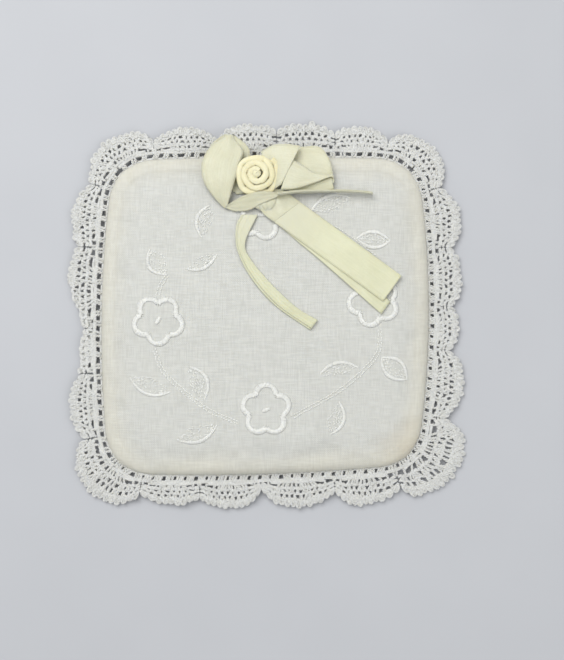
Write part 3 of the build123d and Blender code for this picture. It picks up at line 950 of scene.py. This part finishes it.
closing_distance, _ = from_seam(node_points("closing_stitches"))
closing_threads = Threads()
for at in np.linspace(closing_distance.min() + 0.8, closing_distance.max() - 0.8, CLOSING_STITCHES):
    sweep = np.linspace(0, 1, 12)
    flat = along_seam(at + 1.3 * (sweep - 0.5), 0.9 * np.sin(math.pi * sweep) - 0.35)
    rise = SEAM_Z + 0.9 - 1.8 * sweep
    closing_threads.add(np.concatenate([flat, rise[:, None]], axis=1), 0.15, ply_pitch=0.6)
closing_threads.finish("closing_slip_stitches", "closing_stitches", SEWING, "sewing_thread")

nodes["bow_tacking_stitches"].data.materials.clear()
nodes["bow_tacking_stitches"].data.materials.append(SEWING)


# ---- ribbons ----
RIBBON = 0.34


class Ribbon:
    """Thin closed sheets gathered into one mesh, with coordinates along and across the ribbon."""

    def __init__(self):
        self.points, self.faces, self.along, self.across = [], [], [], []
        self.rims = []
        self.count = 0
        self.length = 0.0

    def add(self, grid, width=RIBBON_WIDTH, thickness=RIBBON):
        """One sheet from a grid of points: rows go along the ribbon, and columns across it."""
        rows, columns = grid.shape[:2]
        normal = unit(np.cross(np.gradient(grid, axis=0), np.gradient(grid, axis=1)))
        edge = np.minimum(np.arange(columns), np.arange(columns)[::-1])
        half = thickness / 2 * np.where(edge == 0, 0.7, np.where(edge == 1, 1.35, 1.0))[None, :, None]
        run = np.linalg.norm(np.diff(grid, axis=0), axis=2).mean(axis=1)
        along = np.concatenate([[0], np.cumsum(run)])[:, None] * np.ones((1, columns))
        span = np.linspace(0, width, columns)[None, :] * np.ones((rows, 1))
        self.length += float(np.linalg.norm(np.diff(grid[:, columns // 2], axis=0), axis=1).sum())
        front = self.count + np.arange(rows * columns).reshape(rows, columns)
        back = front + rows * columns
        self.points += [(grid + normal * half).reshape(-1, 3), (grid - normal * half).reshape(-1, 3)]
        self.along += [along.ravel()] * 2
        self.across += [span.ravel()] * 2
        self.quads(front[:-1, :-1], front[1:, :-1], front[1:, 1:], front[:-1, 1:])
        self.quads(back[:-1, :-1], back[:-1, 1:], back[1:, 1:], back[1:, :-1])
        rim = np.concatenate([front[0, :-1], front[:-1, -1], front[-1, :0:-1], front[:0:-1, 0]])
        follow = np.roll(rim, -1)
        offset = rows * columns
        first_rim = len(self.faces)
        self.quads(rim, follow, follow + offset, rim + offset)
        self.rims.extend(range(first_rim, len(self.faces)))
        self.count += 2 * rows * columns

    def quads(self, a, b, c, d):
        """Adds quads from four arrays of corners."""
        self.faces.extend(np.stack([a, b, c, d], axis=-1).reshape(-1, 4).tolist())

    def piece(self, name, material):
        """The sheets as one piece."""
        attributes = [("along", np.concatenate(self.along)), ("across", np.concatenate(self.across))]
        piece = make_piece(name, np.vstack(self.points), self.faces, material, attributes)
        for rim in self.rims:
            piece.data.polygons[rim].use_smooth = False
        return piece


def band(left, right, count=60, columns=16, section=((0, 0), (1, 0)), belly=0.0, ripple=0.0):
    """A ribbon surface between two edges, each a list of (x, y, height over the crown).

    The section gives the path across as (share, lift) points, so it can fold back on itself.
    """
    left, right = smooth_curve(left, count), smooth_curve(right, count)
    path = smooth_curve(section, columns) if len(section) > 2 else np.asarray(section, float)
    if len(section) == 2:
        path = spaced_share(path, columns)
    share, lift = path[:, 0], path[:, 1]
    grid = left[:, None, :] * (1 - share)[None, :, None] + right[:, None, :] * share[None, :, None]
    belly = np.interp(np.linspace(0, 1, count), np.linspace(0, 1, np.size(belly)), np.atleast_1d(belly))
    grid[..., 2] += lift[None, :] + belly[:, None] * (4 * share * (1 - share))[None, :]
    along = np.linspace(0, 1, count)[:, None]
    waves = np.sin(9 * along + 5 * share[None, :]) * np.sin(4 * math.pi * share)[None, :]
    grid[..., 2] += ripple * waves * np.clip(8 * np.minimum(along, 1 - along), 0, 1)
    grid[..., 2] += crown(grid[..., 0], grid[..., 1])
    return grid


def spaced_share(path, columns):
    """A straight path across, in even steps."""
    return np.stack([np.linspace(path[0, k], path[1, k], columns) for k in (0, 1)], axis=1)


def finish_ribbon(ribbon, name, material, replaced):
    """Makes a ribbon piece that stands for a CAD node, and hides that node."""
    piece = ribbon.piece(name, material)
    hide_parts(replaced)
    return piece


# Left loop: up from under the rose, over a soft crest, down in front to a folded tip, and back.
loop_left = Ribbon()
loop_left.add(
    band(
        [
            (-14.0, 59.0, 0.9), (-21.0, 66.0, 1.0), (-27.0, 75.0, 1.2), (-27.0, 83.0, 1.9),
            (-20.5, 88.2, 3.2), (-20.0, 86.8, 4.6), (-26.6, 82.0, 5.0), (-30.8, 73.5, 5.0),
            (-29.6, 64.5, 4.4), (-25.0, 57.5, 3.2), (-19.6, 51.9, 1.6),
        ],
        [
            (-5.0, 60.0, 0.9), (-6.5, 69.0, 1.0), (-7.2, 77.0, 1.2), (-8.3, 82.5, 1.9),
            (-14.2, 87.6, 3.2), (-15.0, 85.8, 4.4), (-10.6, 79.6, 4.8), (-12.6, 72.0, 5.4),
            (-14.8, 64.0, 5.4), (-16.8, 57.5, 4.4), (-18.2, 52.9, 2.6),
        ],
        count=90,
        belly=(0, 0, 0, 0.2, 0.8, 1.2, 1.6, 1.8, 1.4, 0.8, 0),
        ripple=0.22,
    )
)
loop_left.add(
    band(
        [(-19.4, 52.2, 1.8), (-14.5, 50.6, 1.2), (-8.0, 50.9, 2.0), (-2.0, 53.6, 3.6), (7.0, 57.6, 4.6)],
        [(-18.2, 53.4, 3.2), (-14.4, 55.6, 4.2), (-8.0, 58.4, 5.4), (-1.0, 59.6, 6.0), (7.0, 59.0, 5.6)],
        count=40,
        ripple=0.15,
    )
)
left_piece = finish_ribbon(loop_left, "ribbon_loop_left", SATIN, "bow_loop_left")
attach(left_piece, "pillow")

# Right loop: out from under the rose, folded over at its outer end, and back in two creased layers.
loop_right = Ribbon()
loop_right.add(
    band(
        [
            (-1.0, 79.5, 1.2), (5.0, 82.4, 1.4), (16.0, 82.6, 1.6), (26.0, 82.9, 2.0),
            (30.6, 78.0, 2.8), (32.4, 71.5, 3.8), (31.6, 68.5, 4.8), (24.8, 68.6, 5.0),
            (19.5, 71.8, 5.2), (12.6, 76.0, 5.4),
        ],
        [
            (0.0, 64.0, 1.0), (9.0, 63.0, 1.1), (18.0, 62.2, 1.3), (27.0, 62.0, 1.8),
            (32.2, 63.4, 2.6), (33.6, 65.4, 3.8), (31.6, 67.0, 4.9), (24.8, 64.2, 5.2),
            (15.0, 61.0, 5.2), (7.6, 60.4, 5.2),
        ],
        count=80,
        belly=(0.4, 0.4, 0.4, 0.3, 0.2, 0, 0, 0.5, 0.9, 1.0),
        ripple=0.12,
    )
)
loop_right.add(
    band(
        [(12.0, 61.2, 3.0), (24.8, 64.6, 3.4), (32.6, 67.3, 3.4)],
        [(12.0, 58.9, 2.2), (24.0, 59.4, 2.2), (33.6, 61.4, 2.4)],
        count=30,
        columns=10,
    )
)
loop_right.add(
    band(
        [(-2.0, 80.0, 2.6), (4.0, 83.2, 3.4), (11.0, 83.4, 4.6), (17.2, 82.2, 5.6)],
        [(3.0, 60.6, 3.0), (4.6, 61.0, 4.4), (6.2, 61.8, 5.6), (8.0, 63.0, 6.2)],
        count=26,
        belly=(0.2, 0.6, 0.9, 0.7),
        ripple=0.12,
    )
)
right_piece = finish_ribbon(loop_right, "ribbon_loop_right", SATIN, "bow_loop_right")
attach(right_piece, "pillow")

# Knot: a pleated wrap over the middle, and the gathered start of the wide ends below it.
tail_corner = np.array([-2.5, 50.2])
tail_heading = math.radians(-36.1)
tail_along = bearing(tail_heading)
tail_across = left_of(tail_along)


def tail_spot(along, across, height):
    """A point of the wide ends' own plane, as (x, y, height over the crown)."""
    plan = tail_corner + along * tail_along + across * tail_across
    return (plan[0], plan[1], height)


knot = Ribbon()
knot.add(
    band(
        [(-6.6, 57.2, 2.6), (-6.4, 54.8, 2.9), (-5.0, 52.6, 2.7), (-2.6, 51.0, 1.8)],
        [(5.6, 58.4, 2.8), (5.4, 55.6, 3.2), (4.4, 53.2, 2.9), (3.0, 50.6, 2.0)],
        count=26,
        columns=30,
        section=((0, 0), (0.2, 0.3), (0.34, 0.05), (0.5, 0.35), (0.66, 0.05), (0.82, 0.3), (1, 0)),
        belly=(0.2, 0.4, 0.3, 0.1),
    )
)
knot.add(
    band(
        [
            tail_spot(-3.5, 3.0, 3.4), tail_spot(0.5, 0.6, 2.8),
            tail_spot(4.5, 0.0, 2.3), tail_spot(8.6, 0.0, 2.0),
        ],
        [
            tail_spot(-3.5, 11.0, 3.6),
            tail_spot(2.0, 15.0, 3.0),
            tail_spot(8.0, 15.5, 2.4),
            tail_spot(13.2, 15.5, 2.0),
        ],
        count=26,
        columns=22,
        ripple=0.35,
    )
)
knot_piece = finish_ribbon(knot, "ribbon_knot", SATIN, "bow_knot")
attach(knot_piece, "pillow")

# Wide end on top: flat, gathered a little where it leaves the knot, and cut straight.
upper = Ribbon()
upper.add(
    band(
        [tail_spot(8.4, 0, 2.0), tail_spot(30, 0, 1.95), tail_spot(52, 0, 2.0), tail_spot(74, 0, 2.1)],
        [
            tail_spot(13.0, 15.5, 2.0), tail_spot(30, 15.5, 1.95),
            tail_spot(50, 15.5, 2.1), tail_spot(74, 15.5, 2.5),
        ],
        count=90,
        columns=20,
        belly=(0, 0.25, 0.2, 0.3),
        ripple=0.1,
    )
)
upper_piece = finish_ribbon(upper, "ribbon_tail_upper", TAILS, "tail_upper")

# Wide end below it: folded lengthwise, so its fold shows along the lower edge.
lower = Ribbon()
lower.add(
    band(
        [
            tail_spot(7.2, 1.0, 0.75), tail_spot(22, -0.4, 0.75),
            tail_spot(39, -1.5, 0.8), tail_spot(77, -5.0, 0.9),
        ],
        [
            tail_spot(7.2, 8.3, 0.75), tail_spot(22, 7.2, 0.75),
            tail_spot(39, 6.2, 0.8), tail_spot(77, 2.4, 0.9),
        ],
        count=80,
        columns=26,
        section=((1, 0), (0.5, 0), (0.06, 0), (-0.02, 0.22), (0.06, 0.48), (0.5, 0.5), (0.96, 0.5)),
    )
)
lower_piece = finish_ribbon(lower, "ribbon_tail_lower", TAILS, "tail_lower")

# Narrow end: folded in three along its length.
tie_left_edge = [(-11.8, 48.9), (-14.2, 43), (-13.7, 32.1), (-7.4, 18.9), (4.4, 5.1), (21.6, -7.1)]
tie_right_edge = [(-3.2, 48.9), (-9.2, 35), (-5.9, 26.2), (4.4, 14), (16.2, 3.2), (26, -2.7)]
tie_left = Ribbon()
tie_left.add(
    band(
        [(x + 0.4, y, 0.8) for x, y in tie_left_edge],
        [(x - 0.6, y, 0.8) for x, y in tie_right_edge],
        count=80,
        columns=30,
        section=((0.9, 0), (0.05, 0), (0, 0.2), (0.08, 0.4), (0.94, 0.4), (1, 0.6), (0.92, 0.78), (0.1, 0.8)),
    )
)
tie_left_piece = finish_ribbon(tie_left, "ribbon_tie_left", TAILS, "tie_left")

# End on edge: it leaves the bow standing on its selvedge and sinks a little towards its tip.
edge_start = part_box("tie_right")[0].x / MM
edge_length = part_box("tie_right")[1].x / MM - edge_start
edge_ribbon = Ribbon()
edge_run = np.linspace(0, 1, 70)[:, None]
fold_up = np.array([0, 0.33, 0.67, 0.96, 1, 0.96, 0.67, 0.33, 0.04, 0, 0.04, 0.33, 0.67, 1])[None, :]
fold_out = np.array([0, 0, 0, 0, 0.17, 0.34, 0.34, 0.34, 0.34, 0.51, 0.68, 0.68, 0.68, 0.68])[None, :]
edge_bow = 58.2 + 1.2 * edge_run + 1.5 * np.sin(math.pi * edge_run) + 0.2 * np.sin(9 * edge_run)
edge_grid = [
    edge_start + edge_length * edge_run + 0 * fold_up,
    edge_bow + fold_out - 0.34,
    13.7 - 3.7 * edge_run + 5.0 * fold_up * (1 - 0.25 * edge_run),
]
edge_ribbon.add(np.stack(edge_grid, axis=-1), thickness=0.22)
edge_piece = finish_ribbon(
    edge_ribbon, "ribbon_tie_right", SATIN, "tie_right"
)


# ---- rose: one ribbon rolled up, its upper edge turned over in petals ----
ROSE_WIDTH = 10.0
ROSE_TURNS = 3.0
ROSE_SIDES = 4.4
ROSE_STEPS = 300
low_corner, high_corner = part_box("rose_petals")
rose_middle = np.array((low_corner + high_corner)[:2]) / 2 / MM
rose_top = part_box("rose_centre")[1].z / MM
rose_reach = (high_corner.x - low_corner.x) / 2 / MM


def rolled_rose():
    """The rolled ribbon as a grid: turns along it, and from its foot over its rolled lip across it."""
    share = np.linspace(0, 1, ROSE_STEPS)
    turn = 2 * math.pi * ROSE_TURNS * share
    angle = turn + 0.8
    side = (turn / (2 * math.pi) * ROSE_SIDES) % 1 - 0.5
    corner = (2 * np.abs(side)) ** 4 * share**0.4
    facet = 1 + 0.95 * share**0.5 * (1 / np.cos(side * 2 * math.pi / ROSE_SIDES) - 1.08)
    lip = 1.05 + 0.65 * share - 0.55 * corner
    radius = (0.1 + (rose_reach - 2.7) * share**0.8) * facet
    rim = rose_top - 0.5 - 3.0 * share**1.3 - 0.9 * corner * share
    foot = crown(*rose_middle) + 0.8 + 1.2 * (1 - share)
    rows = []
    for bend in np.linspace(0, 1, 7):
        rows.append((radius - 0.3 * share * (1 - bend), foot + (rim - lip - foot) * bend))
    for bend in np.linspace(0.1, 1.0, 12) * math.pi:
        flare = lip * (1 - np.cos(bend)) * (1.25 - 0.1 * share)
        rows.append((radius + flare, rim - 0.75 * lip + 0.5 * lip * np.sin(bend)))
    grid = []
    for reach, height in rows:
        plan_x = rose_middle[0] + reach * np.cos(angle)
        plan_y = rose_middle[1] + reach * np.sin(angle)
        grid.append(np.stack([plan_x, plan_y, height], axis=-1))
    return np.stack(grid, axis=1)


rose = Ribbon()
rose.add(rolled_rose(), width=ROSE_WIDTH, thickness=0.3)
bud_rise = np.linspace(0, math.pi / 2.1, 9)[:, None]
bud_turn = np.linspace(0, 2 * math.pi, 25)[None, :]
bud_radius = 2.0 * np.cos(bud_rise) * (1 + 0.1 * np.sin(2 * bud_turn + 3 * bud_rise))
bud = np.stack(
    [
        rose_middle[0] + bud_radius * np.cos(bud_turn),
        rose_middle[1] + bud_radius * np.sin(bud_turn),
        rose_top - 2.0 + 1.5 * np.sin(bud_rise) + 0 * bud_turn,
    ],
    axis=-1,
)
rose.add(bud, width=ROSE_WIDTH, thickness=0.3)
rose_piece = rose.piece("ribbon_rose", ROSE)
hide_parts("rose_petals", "rose_centre")
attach(rose_piece, "pillow")


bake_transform(lower_piece)
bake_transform(upper_piece)
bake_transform(tie_left_piece)
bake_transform(edge_piece)


# ---- floor, light and camera ----
CAMERA_ELEVATION = math.radians(88.5)
CAMERA_DISTANCE = 0.42
CAMERA_LENS = 46.5
FLOOR_HALF = 2.0


def studio():
    """A plain pale floor, soft light from the upper left, and the camera almost straight above."""
    scene = bpy.context.scene
    scene.view_settings.view_transform = "Standard"
    floor_shader = Shader("floor", 0.7, specular=0.2)
    speckle = floor_shader.noise(0.02)
    floor_shader.colour(floor_shader.mix(speckle, (0.50, 0.51, 0.53, 1), (0.53, 0.54, 0.56, 1)))
    mesh = bpy.data.meshes.new("floor")
    corners = [(x * FLOOR_HALF, y * FLOOR_HALF, 0) for x, y in ((-1, -1), (1, -1), (1, 1), (-1, 1))]
    mesh.from_pydata(corners, [], [[0, 1, 2, 3]])
    mesh.materials.append(floor_shader.material)
    floor = bpy.data.objects.new("floor", mesh)
    scene.collection.objects.link(floor)

    world = bpy.data.worlds.new("studio")
    world.use_nodes = True
    world.node_tree.nodes["Background"].inputs["Color"].default_value = (0.95, 0.97, 1.0, 1)
    world.node_tree.nodes["Background"].inputs["Strength"].default_value = 0.42
    scene.world = world
    for name, place, size, energy in (
        ("key", (-0.35, 0.45, 0.9), 0.75, 8.9),
        ("fill", (0.6, -0.3, 0.8), 0.9, 3.2),
    ):
        light = bpy.data.lights.new(name, "AREA")
        light.size = size
        light.energy = energy
        lamp = bpy.data.objects.new(name, light)
        lamp.location = place
        lamp.rotation_euler = (-Vector(place)).to_track_quat("-Z", "Y").to_euler()
        scene.collection.objects.link(lamp)

    target = Vector((0.0083, -0.0071, 0.006))
    camera = bpy.data.objects.new("camera", bpy.data.cameras.new("camera"))
    camera.data.lens = CAMERA_LENS
    away = Vector((0, -math.cos(CAMERA_ELEVATION), math.sin(CAMERA_ELEVATION)))
    camera.location = target + CAMERA_DISTANCE * away
    camera.rotation_euler = (target - camera.location).to_track_quat("-Z", "Y").to_euler()
    camera.data.clip_start = 0.01
    scene.collection.objects.link(camera)
    scene.camera = camera


studio()
